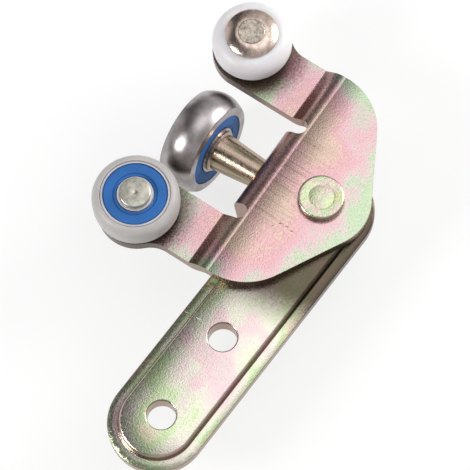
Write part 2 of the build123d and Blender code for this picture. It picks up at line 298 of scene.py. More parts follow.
@dataclass(frozen=True)
class ChromatedZinc:
    """Steel with yellow chromate over zinc: a thin film that shows pink, green and gold by its thickness.

    The film drifts slowly over the sheet, and the rolled grain breaks up reflections into specks.
    Faces that lean from level, among them the cut and bent faces, are painted browner: partly the
    thicker film there, partly painted shade. Real specks are about 0.1 mm and the grain about 0.05 mm.
    Both are too fine to show, so they are drawn several times coarser. Painted shade also darkens the
    film round given axes, where other parts cast shade on the sheet.
    """

    name: str
    films: Stops
    patch_mm: float
    drift_share: float
    roughness: float
    stretch: float = 1.0
    start: float = 0.0
    mottle_mm: float = 1.1
    mottle_share: float = 0.14
    grain_mm: float = 0.5
    grain_depth_mm: float = 0.1
    edge_share: float = 0.0
    edge_from: float = 0.0
    lobes: tuple[Lobe, ...] = ()
    # Faces that lean from level take this colour: browner film on cut and bent edges, and painted shade
    steep_shade: str = "#86604C"
    steep_share: float = 0.85
    steep_cosines: tuple[float, float] = (0.99, 0.6)
    centre: tuple[float, float] = (0.0, 0.0)
    swing: float = 0.0
    crown_mm: float = 0.0
    crown_power: float = 2.6
    rim_from: float = 0.79
    rim_fall_mm: float = 0.0
    roll_start_mm: float = 0.0
    roll_end_mm: float = 0.0
    roll_mm: float = 0.0
    roll_power: float = 2.0
    nicks: tuple[Nick, ...] = ()
    # Painted shade round given axes, where other parts cast shade on the sheet
    painted_shades: tuple[PaintedShade, ...] = ()
    brushing: Brushing | None = None

    def material(self) -> Material:
        """Builds the material.

        Returns:
            The finished material.
        """
        material, tree, place = new_tree(self.name)
        # The sheet's own middle and directions
        local = add_node(
            tree,
            "Mapping",
            {
                "vector_type": "TEXTURE",
                "Location": (self.centre[0] / 1000, self.centre[1] / 1000, 0),
                "Rotation": (0, 0, self.swing),
            },
            {"Vector": place},
        )
        mottle = add_node(
            tree,
            "TexNoise",
            {"Scale": per_metre(self.mottle_mm), "Detail": 3.0, "Roughness": 0.65},
            {"Vector": place},
        )
        film = add_node(tree, "ValToRGB", links={0: self.thickness(tree, local, mottle)})
        set_stops(film, self.films)
        # The film, with painted shade and browner film laid on faces that lean from level
        base = add_node(
            tree,
            "Mix",
            {"data_type": "RGBA", 7: linear(self.steep_shade)},
            {0: self.steepness(tree), 6: film},
        )
        dull = add_node(
            tree,
            "MapRange",
            NOISE_SPAN | {"To Min": self.roughness - 0.06, "To Max": self.roughness + 0.1},
            {"Value": mottle},
        )
        colour, dullness = base.outputs[2], dull.outputs[0]
        if self.brushing:
            colour = self.brushed(tree, local, self.brushing, colour)
        # Painted shade where other parts cast shade on the sheet
        for shade in self.painted_shades:
            colour = self.with_painted_shade(tree, local, shade, colour, mottle)
        for nick in self.nicks:
            colour, dullness = self.scratched(tree, place, nick, colour, dullness)
        shader = add_node(
            tree,
            "BsdfPrincipled",
            {"Metallic": 1.0},
            {"Base Color": colour, "Roughness": dullness, "Normal": self.relief(tree, place, local)},
        )
        add_node(tree, "OutputMaterial", links={"Surface": shader})
        return material

    def thickness(self, tree: Tree, local: Source, mottle: Source) -> Node:
        """How thick the film is: slow drifts, a change towards the sheet's edge, and specks.

        Args:
            tree: The material's node tree.
            local: The place along the sheet's own directions.
            mottle: The speck noise.

        Returns:
            A node whose value runs through the film's colours from 0 to 1.
        """
        stretched = add_node(tree, "Mapping", {"Scale": (self.stretch, 1.0, 1.0)}, {"Vector": local})
        patch = add_node(
            tree,
            "TexNoise",
            {"Scale": per_metre(self.patch_mm), "Detail": 2.0, "Roughness": 0.5, "Distortion": 0.2},
            {"Vector": stretched},
        )
        total = add_node(
            tree,
            "MapRange",
            NOISE_SPAN | {"To Min": self.start, "To Max": self.start + self.drift_share},
            {"Value": patch},
        )
        specks = add_node(
            tree,
            "MapRange",
            NOISE_SPAN | {"To Min": -self.mottle_share, "To Max": self.mottle_share},
            {"Value": mottle},
        )
        parts = [specks]
        if self.edge_share:
            edge = add_node(
                tree,
                "MapRange",
                {"clamp": False, "From Min": self.edge_from, "From Max": 1.0, "To Max": self.edge_share},
                {"Value": self.from_middle(tree, local)},
            )
            parts.append(add_node(tree, "Math", {"operation": "MAXIMUM", 1: 0.0}, {0: edge}))
        for part in parts:
            total = add_node(tree, "Math", {"operation": "ADD"}, {0: total, 1: part})
        return add_node(tree, "Math", {"operation": "PINGPONG", 1: 1.0}, {0: total})

    def from_middle(self, tree: Tree, local: Source) -> Node:
        """How far a place lies from the middle of the nearest lobe, as a share of the way to its edge.

        Args:
            tree: The material's node tree.
            local: The place along the sheet's own directions.

        Returns:
            A node whose value is 1 at the edge.
        """
        nearest = None
        for lobe in self.lobes:
            offset = local
            for operation, by in (
                ("SUBTRACT", (lobe.x / 1000, lobe.y / 1000, 0)),
                ("ABSOLUTE", (0, 0, 0)),
                ("SUBTRACT", (lobe.straight / 1000, 0, 0)),
                ("MAXIMUM", (0, 0, 0)),
                ("MULTIPLY", (per_metre(lobe.reach_x), per_metre(lobe.reach_y), 0)),
            ):
                offset = add_node(tree, "VectorMath", {"operation": operation, 1: by}, {0: offset})
            length = add_node(tree, "VectorMath", {"operation": "LENGTH"}, {0: offset})
            distance = add_node(
                tree,
                "Math",
                {"operation": "MULTIPLY_ADD", 1: 1 - lobe.at_middle, 2: lobe.at_middle},
                {0: length.outputs["Value"]},
            )
            if nearest is not None:
                distance = add_node(tree, "Math", {"operation": "MINIMUM"}, {0: nearest, 1: distance})
            nearest = distance
        return nearest

    def steepness(self, tree: Tree) -> Node:
        """How far a face leans from level.

        Args:
            tree: The material's node tree.

        Returns:
            A node whose value runs from 0 up to the share of painted shade and browner film.
        """
        level, leaning = self.steep_cosines
        normal = add_node(tree, "TexCoord").outputs["Normal"]
        upright = add_node(tree, "SeparateXYZ", links={0: normal}).outputs["Z"]
        flatness = add_node(tree, "Math", {"operation": "ABSOLUTE"}, {0: upright})
        return add_node(
            tree,
            "MapRange",
            {"From Min": level, "From Max": leaning, "To Max": self.steep_share},
            {"Value": flatness},
        )

    def relief(self, tree: Tree, place: Source, local: Source) -> Node:
        """The sheet's soft crown and rim, its roll before a bend, and its grain.

        Args:
            tree: The material's node tree.
            place: The object coordinate socket.
            local: The place along the sheet's own directions.

        Returns:
            The node that gives the shading normal.
        """
        slow = {}
        if self.crown_mm:
            outward = self.from_middle(tree, local)
            share = add_node(tree, "MapRange", {"From Max": self.rim_from}, {"Value": outward})
            crown = add_node(tree, "Math", {"operation": "POWER", 1: self.crown_power}, {0: share})
            rim = add_node(
                tree,
                "MapRange",
                {"From Min": self.rim_from, "To Max": self.rim_fall_mm},
                {"Value": outward},
            )
            fall = add_node(tree, "Math", {"operation": "MULTIPLY_ADD", 1: self.crown_mm}, {0: crown, 2: rim})
            slow = {"Normal": add_node(tree, "Bump", {"invert": True, "Distance": 0.001}, {"Height": fall})}
        if self.roll_mm:
            across = add_node(tree, "SeparateXYZ", links={0: local}).outputs["Y"]
            ends = {"From Min": self.roll_start_mm / 1000, "From Max": self.roll_end_mm / 1000}
            near = add_node(tree, "MapRange", ends, {"Value": across})
            fall = add_node(tree, "Math", {"operation": "POWER", 1: self.roll_power}, {0: near})
            depth = {"invert": True, "Distance": self.roll_mm / 1000}
            slow = {"Normal": add_node(tree, "Bump", depth, {"Height": fall})}
        grain = add_node(
            tree,
            "TexNoise",
            {"Scale": per_metre(self.grain_mm), "Detail": 2.0, "Roughness": 0.6},
            {"Vector": place},
        )
        depth = {"Strength": 1.0, "Distance": self.grain_depth_mm / 1000}
        return add_node(tree, "Bump", depth, {"Height": grain} | slow)

    def brushed(self, tree: Tree, local: Source, brushing: Brushing, colour: Source) -> Socket:
        """Lays brush lines over the colour.

        Args:
            tree: The material's node tree.
            local: The place along the sheet's own directions.
            brushing: The lines.
            colour: The film's colour.

        Returns:
            The colour socket with the lines in it.
        """
        axes = add_node(tree, "SeparateXYZ", links={0: local})
        sideways = add_node(tree, "Math", {"operation": "ABSOLUTE"}, {0: axes.outputs["X"]})
        far, near = brushing.half_width / 1000, (brushing.half_width - brushing.fade) / 1000
        inside = add_node(tree, "MapRange", {"From Min": far, "From Max": near}, {"Value": sideways})
        heights = {"From Min": brushing.low / 1000, "From Max": brushing.high / 1000}
        above = add_node(tree, "MapRange", heights, {"Value": axes.outputs["Y"]})
        squeeze = {"Scale": (1.0, brushing.line / brushing.length, 1.0)}
        stretched = add_node(tree, "Mapping", squeeze, {"Vector": local})
        lines = add_node(
            tree,
            "TexNoise",
            {"Scale": per_metre(brushing.line), "Detail": 2.0, "Roughness": 0.6},
            {"Vector": stretched},
        )
        share = add_node(
            tree,
            "MapRange",
            {"From Min": 0.42, "From Max": 0.66, "To Max": brushing.share},
            {"Value": lines},
        )
        for mask in (inside, above):
            share = add_node(tree, "Math", {"operation": "MULTIPLY"}, {0: share, 1: mask})
        dark = {"data_type": "RGBA", 7: linear(brushing.colour)}
        return add_node(tree, "Mix", dark, {0: share, 6: colour}).outputs[2]

    def with_painted_shade(self, tree: Tree, local: Source, shade: PaintedShade, colour: Source, mottle: Source) -> Socket:
        """Paints shade over the colour, with a ragged edge.

        Args:
            tree: The material's node tree.
            local: The place along the sheet's own directions.
            shade: The painted shade.
            colour: The film's colour.
            mottle: The speck noise, whose mean of a half moves the edge out by half the ragged width.

        Returns:
            The colour socket with the painted shade in it.
        """
        middle = Vector((shade.x, shade.y, 0)) / 1000
        flat = add_node(tree, "VectorMath", {"operation": "MULTIPLY", 1: (1, 1, 0)}, {0: local})
        apart = add_node(tree, "VectorMath", {"operation": "DISTANCE", 1: middle}, {0: flat})
        radius = add_node(
            tree,
            "Math",
            {"operation": "MULTIPLY_ADD", 1: shade.ragged / 1000},
            {0: mottle, 2: apart.outputs["Value"]},
        )
        share = add_node(
            tree,
            "MapRange",
            {
                "interpolation_type": "SMOOTHSTEP",
                "From Min": (shade.start + shade.ragged / 2) / 1000,
                "From Max": (shade.full + shade.ragged / 2) / 1000,
                "To Max": shade.share,
            },
            {"Value": radius},
        )
        dark = {"data_type": "RGBA", 7: linear(shade.colour)}
        return add_node(tree, "Mix", dark, {0: share, 6: colour}).outputs[2]

    def scratched(
        self, tree: Tree, place: Source, nick: Nick, colour: Source, dullness: Source
    ) -> tuple[Socket, Socket]:
        """Lays a scratch over the film.

        Args:
            tree: The material's node tree.
            place: The object coordinate socket.
            nick: The scratch.
            colour: The film's colour.
            dullness: The film's roughness.

        Returns:
            The colour and roughness sockets with the scratch in them.
        """
        spot = add_node(
            tree,
            "Mapping",
            {
                "vector_type": "TEXTURE",
                "Location": (nick.x / 1000, nick.y / 1000, 0),
                "Rotation": (0, 0, math.radians(nick.turn)),
                "Scale": (nick.length / 1000, nick.width / 1000, 1.0),
            },
            {"Vector": place},
        )
        falloff = add_node(tree, "TexGradient", {"gradient_type": "SPHERICAL"}, {"Vector": spot})
        mask = add_node(
            tree, "MapRange", {"From Min": 0.45, "From Max": 0.6}, {"Value": falloff.outputs["Fac"]}
        )
        bare = {"data_type": "RGBA", 7: linear(nick.colour)}
        bright = add_node(tree, "Mix", bare, {0: mask, 6: colour})
        rough = add_node(tree, "Mix", {"data_type": "FLOAT", 3: 0.5}, {0: mask, 2: dullness})
        return bright.outputs[2], rough.outputs[0]


@dataclass(frozen=True)
class TurnedSteel:
    """Turned or ground steel: a metal with fine specks and a faint change of tone.

    Real tool marks and grinding lines are a few hundredths of a millimetre apart, too fine to
    show, so the grain is drawn at 0.4 mm.
    """

    name: str
    light: str
    dark: str
    patch_mm: float = 6.0
    grain_mm: float = 0.4
    roughness: float = 0.25
    grain_depth_mm: float = 0.008

    def material(self) -> Material:
        """Builds the material.

        Returns:
            The finished material.
        """
        material, tree, place = new_tree(self.name)
        patch = add_node(
            tree,
            "TexNoise",
            {"Scale": per_metre(self.patch_mm), "Detail": 5.0, "Roughness": 0.6},
            {"Vector": place},
        )
        tone = add_node(tree, "ValToRGB", links={0: patch})
        set_stops(tone, ((0.35, self.dark), (0.62, self.light)))
        grain = add_node(
            tree,
            "TexNoise",
            {"Scale": per_metre(self.grain_mm), "Detail": 3.0, "Roughness": 0.65},
            {"Vector": place},
        )
        dull = add_node(
            tree,
            "MapRange",
            NOISE_SPAN | {"To Min": self.roughness - 0.05, "To Max": self.roughness + 0.08},
            {"Value": grain},
        )
        depth = {"Strength": 0.5, "Distance": self.grain_depth_mm / 1000}
        bump = add_node(tree, "Bump", depth, {"Height": grain})
        shader = add_node(
            tree,
            "BsdfPrincipled",
            {"Metallic": 1.0},
            {"Base Color": tone, "Roughness": dull, "Normal": bump},
        )
        add_node(tree, "OutputMaterial", links={"Surface": shader})
        return material


@dataclass(frozen=True)
class Moulded:
    """Moulded plastic or rubber: an even colour with a faint cloud and a fine moulded skin.

    The skin of a real moulding is finer than 0.1 mm, too fine to show, so it is drawn at 0.35 mm.
    """

    name: str
    light: str
    dark: str
    roughness: float = 0.45
    ior: float = 1.53
    cloud_mm: float = 7.0
    skin_mm: float = 0.35
    skin_depth_mm: float = 0.006
    glow: float = 0.0

    def material(self) -> Material:
        """Builds the material.

        Returns:
            The finished material.
        """
        material, tree, place = new_tree(self.name)
        cloud = add_node(
            tree,
            "TexNoise",
            {"Scale": per_metre(self.cloud_mm), "Detail": 4.0, "Roughness": 0.6},
            {"Vector": place},
        )
        tone = add_node(tree, "ValToRGB", links={0: cloud})
        set_stops(tone, ((0.3, self.dark), (0.6, self.light)))
        skin = add_node(
            tree,
            "TexNoise",
            {"Scale": per_metre(self.skin_mm), "Detail": 2.0, "Roughness": 0.5},
            {"Vector": place},
        )
        dull = add_node(
            tree,
            "MapRange",
            NOISE_SPAN | {"To Min": self.roughness - 0.05, "To Max": self.roughness + 0.07},
            {"Value": cloud},
        )
        depth = {"Strength": 0.4, "Distance": self.skin_depth_mm / 1000}
        bump = add_node(tree, "Bump", depth, {"Height": skin})
        shader = add_node(
            tree,
            "BsdfPrincipled",
            {"IOR": self.ior, "Subsurface Weight": self.glow, "Subsurface Scale": 0.004},
            {"Base Color": tone, "Roughness": dull, "Normal": bump},
        )
        add_node(tree, "OutputMaterial", links={"Surface": shader})
        return material


class Finishes:
    """Every finish of the object, each built once."""

    def __init__(self) -> None:
        """Builds the materials."""
        # Zinc in yellow chromate on a pressed strap: a soft metal shine under pink, gold and green
        # films, greener towards the rim, with painted shade round the pivot where the plate casts shade
        self.arm = ChromatedZinc(
            name="yellow chromated zinc on the pressed arm",
            centre=(ARM_MIDDLE, 0.0),
            patch_mm=13.0,
            stretch=0.75,
            drift_share=0.9,
            mottle_mm=0.8,
            mottle_share=0.08,
            grain_mm=0.4,
            grain_depth_mm=0.05,
            roughness=0.2,
            films=(
                (0.00, "#CFC4C2"),
                (0.22, "#DFC3C6"),
                (0.38, "#D9D3C8"),
                (0.60, "#D6D8C2"),
                (0.78, "#C0D6A6"),
                (0.88, "#DCD8BC"),
                (1.00, "#E0D2BE"),
            ),
            edge_share=0.4,
            edge_from=0.79,
            lobes=(Lobe(0.0, 0.0, ARM_HALF_WIDTH, ARM_HALF_WIDTH, straight=ARM_SPINE[1] - ARM_MIDDLE),),
            crown_mm=0.95,
            rim_fall_mm=0.35,
            # Painted shade round the pivot, beside and under the carrier plate
            painted_shades=(
                PaintedShade(PIVOT.x - ARM_MIDDLE, PIVOT.y, start=45.0, full=30.0, colour="#3E2C24", share=0.9),
            ),
            nicks=(Nick(15.65, 14.1, -80.6, 1.5), Nick(15.7, 9.3, -84.0, 2.3)),
        ).material()
        # The same bath on a folded plate: pinker in the middle and greener at its edges, with fine
        # brush lines before the bend, rubbed marks beside the rivet and painted shade round the rollers
        self.plate = ChromatedZinc(
            name="yellow chromated zinc on the folded plate",
            centre=(PIVOT.x, PIVOT.y),
            swing=CARRIER_SWING,
            patch_mm=12.0,
            start=-0.14,
            drift_share=0.5,
            mottle_mm=0.7,
            mottle_share=0.2,
            grain_mm=0.4,
            grain_depth_mm=0.05,
            roughness=0.23,
            films=(
                (0.00, "#D2BCAA"),
                (0.18, "#DCBDB2"),
                (0.34, "#DBAFB1"),
                (0.54, "#DDB5BD"),
                (0.68, "#D8C4C2"),
                (0.80, "#C2D0B8"),
                (0.92, "#B7CFAC"),
                (1.00, "#C9D4B8"),
            ),
            edge_share=0.9,
            lobes=(
                Lobe(-2.0, 14.0, 14.0, 31.0, straight=26.0),
                Lobe(-ROLLER_SPREAD, ROLLER_REACH, 14.0, 60.0, at_middle=0.42),
                Lobe(ROLLER_SPREAD, ROLLER_REACH, 14.0, 60.0, at_middle=0.42),
            ),
            # Painted shade round the foot of each roller
            painted_shades=(
                PaintedShade(-ROLLER_SPREAD, ROLLER_REACH, start=21.0, full=13.0, colour="#40302A"),
                PaintedShade(ROLLER_SPREAD, ROLLER_REACH, start=21.0, full=13.0, colour="#4A2A28"),
            ),
            brushing=Brushing(low=2.0, high=10.0, half_width=17.0),
            nicks=(
                Nick(54.1, 6.9, -48.0, 1.5, colour="#8A7A70"),
                Nick(54.6, 4.6, -75.0, 1.3, colour="#8A7A70"),
                Nick(54.1, 2.7, -72.0, 1.2, colour="#8A7A70"),
                Nick(52.2, 8.4, -60.0, 0.9, width=0.25, colour="#8A7A70"),
            ),
            roll_start_mm=8.0,
            roll_end_mm=16.0,
            roll_mm=0.55,
        ).material()
        # The same bath on a cold headed rivet: a paler, greener film, with painted shade in brown on its
        # round side
        self.rivet = ChromatedZinc(
            name="yellow chromated zinc on a cold headed rivet",
            patch_mm=7.0,
            drift_share=1.0,
            roughness=0.27,
            films=((0.0, "#CFDDB2"), (0.3, "#DCD8C0"), (0.5, "#DFC6C2"), (0.7, "#C8D9B4"), (1.0, "#DCD4A0")),
            steep_shade="#8E8068",
        ).material()
        # The same bath on a turned axle: olive and tan bands that run along the axle, and painted shade on
        # its sides
        self.axle = ChromatedZinc(
            name="yellow chromated zinc on a turned axle",
            patch_mm=1.3,
            mottle_share=0.08,
            swing=CARRIER_SWING + math.radians(90),
            stretch=0.07,
            drift_share=1.0,
            grain_depth_mm=0.03,
            roughness=0.25,
            films=((0.0, "#77705C"), (0.3, "#A69C88"), (0.5, "#C4AE9E"), (0.75, "#C9AFA2"), (1.0, "#B2A878")),
            steep_shade="#8E7F62",
            steep_share=0.35,
        ).material()
        # Barrel plated pressing: bright, warm and a little rippled, so its reflections break up
        self.cap = TurnedSteel(
            "bright plated steel", "#E6D0C6", "#C4B4A6", patch_mm=1.5, roughness=0.2, grain_depth_mm=0.07
        ).material()
        # A pin end spread by a tool: the same plating, pitted and in small dark and light facets
        self.peened = TurnedSteel(
            "plated steel, peened over",
            "#D8CEC2",
            "#8E8478",
            patch_mm=1.0,
            roughness=0.28,
            grain_depth_mm=0.09,
        ).material()
        # Turned and tumbled: an even satin grey without sharp reflections
        self.pin = TurnedSteel(
            "satin turned steel", "#D2CFC4", "#A9A79C", patch_mm=1.6, roughness=0.36, grain_depth_mm=0.04
        ).material()
        # Ground: plain pale steel with soft reflections
        self.race = TurnedSteel("ground race steel", "#DAD7DC", "#C6C3C8", roughness=0.36).material()
        # Ground and oiled by use: darker steel with broad soft highlights on its crown
        self.ring = TurnedSteel(
            "ground bearing steel", "#B8B2B4", "#948D8C", roughness=0.33, grain_depth_mm=0.02
        ).material()
        # Lapped: near mirror
        self.ball = TurnedSteel("polished ball steel", "#D2D2D2", "#C4C4C4", roughness=0.08).material()
        # Moulded nitrile rubber: an even blue with hardly any shine
        self.seal = Moulded("blue nitrile rubber", "#2C66AA", "#265A98", roughness=0.55, ior=1.36).material()
        # Moulded polyurethane: a milky light grey with a soft sheen
        self.tyre = Moulded(
            "light grey polyurethane", "#B6B3B1", "#ADAAA8", roughness=0.42, ior=1.48
        ).material()
        # Moulded polyamide: white and a little translucent, so its shadows stay soft
        self.nylon = Moulded("white polyamide", "#E0DFE2", "#DAD9DD", roughness=0.4, glow=0.4).material()
        # Undyed polyamide: a waxy cream
        self.cage = Moulded("natural polyamide", "#DDD6C2", "#D2CAB4", roughness=0.45).material()


def deselect() -> None:
    """Leaves edit mode and deselects everything."""
    if bpy.context.object is not None and bpy.context.object.mode != "OBJECT":
        bpy.ops.object.mode_set(mode="OBJECT")
    bpy.ops.object.select_all(action="DESELECT")


def choose(piece: Piece) -> None:
    """Makes one object the only selected one and the active one.

    Args:
        piece: The object.
    """
    deselect()
    piece.select_set(True)
    bpy.context.view_layer.objects.active = piece


def dress(piece: Piece, finish: Material) -> None:
    """Gives an object one finish all over."""
    piece.data.materials.clear()
    piece.data.materials.append(finish)


def smooth(piece: Piece, limit: float = 32.0) -> None:
    """Shades an object smooth, except over edges sharper than a limit in degrees."""
    choose(piece)
    bpy.ops.object.shade_smooth_by_angle(angle=math.radians(limit))


def keep_flats(piece: Piece) -> None:
    """Keeps large flat faces flat where they run into a rounding.

    Args:
        piece: The finished piece.
    """
    choose(piece)
    even = piece.modifiers.new("flat faces", "WEIGHTED_NORMAL")
    even.keep_sharp = True
    even.weight = 90
    bpy.ops.object.modifier_apply(modifier=even.name)


def attach(piece: Piece, body: Body, slot: Slot, finish: Material, *nodes: str) -> None:
    """Dresses a finished piece and fits it to the model.

    Args:
        piece: The finished object.
        body: The body that it moves with.
        slot: The record's slot for its finish. It is not used.
        finish: Its material.
        nodes: The solids that it stands for.
    """
    dress(piece, finish)
    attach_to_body(piece, body.value)
    if nodes:
        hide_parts(*nodes)
    log.info("%s: %d faces, on %s", piece.name, len(piece.data.polygons), body.value)


@dataclass
class Lathe:
    """A turning axis: pieces are drawn out ring by ring about +z and then put in place."""

    foot: Vector
    along: Vector = field(default_factory=lambda: Vector((0, 0, 1)))
    facets: int = 128

    def turn(self, name: str, outline: Outline, hollow: bool) -> Piece:
        """Turns an outline.

        Args:
            name: Name of the piece.
            outline: Radius and height of each ring, in mm, in order round the section.
            hollow: Whether the section closes on itself. If not, both ends are filled discs.

        Returns:
            The finished piece, with its place in its mesh.
        """
        deselect()
        radius, height = outline[0]
        foot = (0, 0, height / 1000)
        bpy.ops.mesh.primitive_circle_add(
            vertices=self.facets, radius=radius / 1000, fill_type="NOTHING", location=foot
        )
        piece = bpy.context.object
        piece.name = piece.data.name = name
        bpy.ops.object.transform_apply(location=True, rotation=True, scale=True)
        bpy.ops.object.mode_set(mode="EDIT")
        bpy.ops.mesh.select_all(action="SELECT")
        if not hollow:
            bpy.ops.mesh.edge_face_add()
        for next_radius, next_height in outline[1:] + (outline[:1] if hollow else []):
            rise = (0, 0, (next_height - height) / 1000)
            bpy.ops.mesh.extrude_region_move(TRANSFORM_OT_translate={"value": rise})
            widen = next_radius / radius
            bpy.ops.transform.resize(value=(widen, widen, 1), center_override=(0, 0, 0))
            radius, height = next_radius, next_height
        bpy.ops.mesh.select_all(action="SELECT")
        bpy.ops.mesh.remove_doubles(threshold=1e-6)
        bpy.ops.mesh.normals_make_consistent(inside=False)
        bpy.ops.object.mode_set(mode="OBJECT")
        lean = Vector((0, 0, 1)).rotation_difference(self.along.normalized())
        piece.matrix_world = Matrix.Translation(self.foot / 1000) @ lean.to_matrix().to_4x4()
        bpy.ops.object.transform_apply(location=True, rotation=True, scale=True)
        smooth(piece)
        keep_flats(piece)
        return piece


def arc(radius: float, height: float, size: float, start: float, end: float, steps: int) -> Outline:
    """Points of a rounded corner in a section.

    Args:
        radius: Radius of the corner's centre from the axis, in mm.
        height: Height of the corner's centre, in mm.
        size: Radius of the rounding, in mm.
        start: First angle, in degrees, from outwards towards up.
        end: Last angle, in degrees.
        steps: Number of faces over the corner.

    Returns:
        The points, first to last.
    """
    angles = [math.radians(start + (end - start) * i / steps) for i in range(steps + 1)]
    return [(radius + size * math.cos(a), height + size * math.sin(a)) for a in angles]


def soften_foot(piece: Piece, level: float, half: float, radius: float) -> None:
    """Rounds the inner corner at the foot of the arm's raised panel.

    Args:
        piece: The arm.
        level: Height of the corner, in mm.
        half: Distance of the corner from the arm's middle line, in mm.
        radius: Width of the rounding, in mm.
    """
    choose(piece)
    bpy.ops.object.mode_set(mode="EDIT")
    bpy.ops.mesh.select_mode(type="VERT")
    bpy.ops.mesh.select_all(action="DESELECT")
    bpy.ops.object.mode_set(mode="OBJECT")
    for vertex in piece.data.vertices:
        x, y, z = vertex.co * 1000
        past = x - min(max(x, ARM_SPINE[0]), ARM_SPINE[1])
        vertex.select = abs(z - level) < 0.02 and abs(math.hypot(past, y) - half) < 0.05
    bpy.ops.object.mode_set(mode="EDIT")
    bpy.ops.mesh.select_mode(type="EDGE")
    bpy.ops.mesh.bevel(offset=radius / 1000, segments=5, affect="EDGES")
    bpy.ops.object.mode_set(mode="OBJECT")


def pressed_copy(frame: dict, node: str, rounding: float) -> Piece:
    """Makes a sheet part from its solid: joined faces, softened cut edges, smooth bends.

    Args:
        node: Name of the solid.
        rounding: Width of the rounding on its cut edges, in mm.

    Returns:
        The new object.
    """
    solid = frame["nodes"][node]
    piece = bpy.data.objects.new(f"{node}_pressing", solid.data.copy())
    bpy.context.scene.collection.objects.link(piece)
    choose(piece)
    bpy.ops.object.mode_set(mode="EDIT")
    bpy.ops.mesh.select_all(action="SELECT")
    bpy.ops.mesh.remove_doubles(threshold=2e-6)
    bpy.ops.mesh.dissolve_limited(angle_limit=SAME_PLANE)
    bpy.ops.object.mode_set(mode="OBJECT")
    bevel = piece.modifiers.new("edge rounding", "BEVEL")
    bevel.width = rounding / 1000
    bevel.segments = 2
    bevel.limit_method = "ANGLE"
    bevel.angle_limit = SHARP_EDGE
    bevel.miter_outer = "MITER_ARC"
    bpy.ops.object.modifier_apply(modifier=bevel.name)
    return piece


@dataclass
class ArmAndRivet:
    """The pressed arm and the rivet that the carrier turns on."""

    cut_edge: float = 0.3
    foot_half: float = 12.2
    foot_radius: float = 0.7
    head_r: float = 7.25
    head_foot: float = 10.4
    head_height: float = 2.45
    head_edge: float = 0.8
    mark_r: float = 4.0
    shoulder_r: float = 6.0
    shank_r: float = 5.0
    tail_r: float = 8.2
    tail_low: float = 0.6
    tail_top: float = 2.2
    panel_top: float = 6.2

    def build(self, frame: dict, finishes: Finishes) -> None:
        """Builds and fits both pieces.

        Args:
            finishes: The object's finishes.
        """
        arm = pressed_copy(frame, "arm", self.cut_edge)
        soften_foot(arm, SHEET, self.foot_half, self.foot_radius)
        smooth(arm, 30)
        keep_flats(arm)
        attach(arm, Body.ARM, Slot.ZINC, finishes.arm, "arm")
        attach(self.rivet(), Body.ARM, Slot.RIVET, finishes.rivet, "pivot_rivet")

    def rivet(self) -> Piece:
        """The rivet, with the forming tool's ring on its head.

        Returns:
            The finished piece.
        """
        top = self.head_foot + self.head_height
        soft = self.head_edge
        outline = [
            (self.tail_r - 0.5, self.tail_low),
            (self.tail_r, self.tail_low + 0.5),
            (self.tail_r, self.tail_top),
            (self.shank_r, self.tail_top),
            (self.shank_r, self.panel_top),
            (self.shoulder_r, self.panel_top),
            (self.shoulder_r, self.head_foot),
            (self.head_r - 0.15, self.head_foot),
            (self.head_r, self.head_foot + 0.15),
        ]
        outline += arc(self.head_r - soft, top - soft, soft, 0, 90, 8)
        outline += [
            (self.mark_r + 0.45, top),
            (self.mark_r + 0.15, top - 0.1),
            (self.mark_r - 0.15, top - 0.1),
            (self.mark_r - 0.45, top - 0.02),
            (0.5, top - 0.02),
        ]
        return Lathe(Vector((PIVOT.x, PIVOT.y, 0))).turn("pivot_rivet_turned", outline, hollow=False)


@dataclass
class CarrierPlate:
    """The folded sheet with its two ears and middle tab."""

    cut_edge: float = 0.35

    def build(self, frame: dict, finishes: Finishes) -> None:
        """Builds and fits the plate.

        Args:
            finishes: The object's finishes.
        """
        plate = pressed_copy(frame, "carrier_plate", self.cut_edge)
        smooth(plate, 30)
        keep_flats(plate)
        attach(plate, Body.CARRIER, Slot.ZINC, finishes.plate, "carrier_plate")


